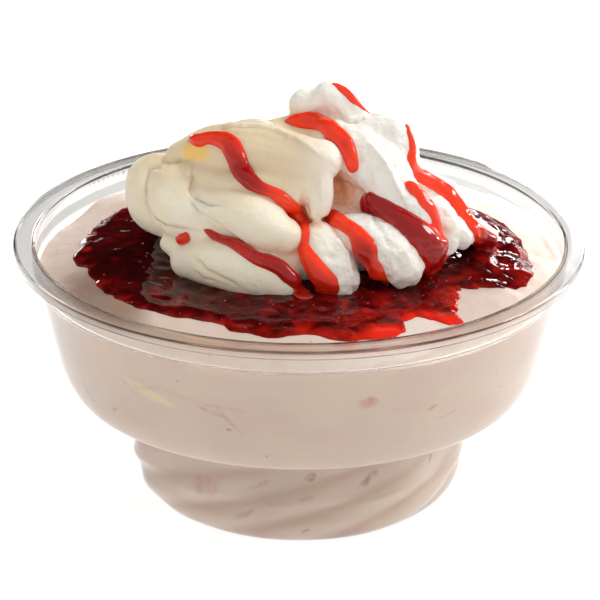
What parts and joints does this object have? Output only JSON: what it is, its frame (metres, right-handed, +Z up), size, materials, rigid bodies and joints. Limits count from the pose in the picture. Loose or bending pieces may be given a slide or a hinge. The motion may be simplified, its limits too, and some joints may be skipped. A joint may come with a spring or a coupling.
{
  "type": "pot de creme",
  "caption": "Clear stepped dessert cup filled with pale berry mousse, under a pool of berry compote and a heap of whipped cream drizzled with red sauce.",
  "frame": {"origin": "centre of the cup's standing ring, on the surface it stands on", "axes": "+Z up through the cup, +X to the right and -Y to the front as the picture shows it"},
  "size_m": [0.1176, 0.1176, 0.0877],
  "materials": {
    "cup": "clear, thin and glossy",
    "mousse": "pale pink-beige set cream with berry flecks",
    "compote": "wet dark red fruit in syrup",
    "cream": "soft ivory whipped cream with bright red sauce"
  },
  "bodies": {
    "root": {"cup": "cup", "mousse": "mousse", "compote": "compote", "cream": "cream"}
  },
  "joints": []
}
